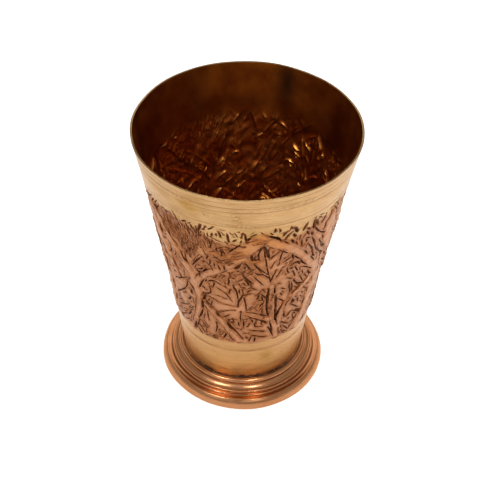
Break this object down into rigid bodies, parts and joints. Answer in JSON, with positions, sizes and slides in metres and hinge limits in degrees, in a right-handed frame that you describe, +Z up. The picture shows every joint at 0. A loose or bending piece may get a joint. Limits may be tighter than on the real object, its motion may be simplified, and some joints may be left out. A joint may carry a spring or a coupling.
{
  "type": "chased copper cup",
  "caption": "Tapered copper drinking cup with a chased band of leaves and branches, plain rim and base bands, and a stepped spun foot.",
  "frame": {"origin": "centre of the ring that the foot stands on, at floor level", "axes": "+Z up along the cup's axis, towards the open rim; the cup is round, so +X and -Y are arbitrary"},
  "size_m": [0.084, 0.0838, 0.119],
  "materials": {
    "chased_copper": "hand-chased sheet copper, brushed bands, dark patina in the chisel strokes",
    "floor_copper": "tarnished sheet copper",
    "foot_copper": "spun and polished sheet copper",
    "solder": "oxidised brazing solder with flux residue"
  },
  "bodies": {
    "root": {"cup_wall": "chased_copper", "cup_floor": "floor_copper", "floor_solder": "solder", "foot": "foot_copper", "foot_solder": "solder"}
  },
  "joints": []
}
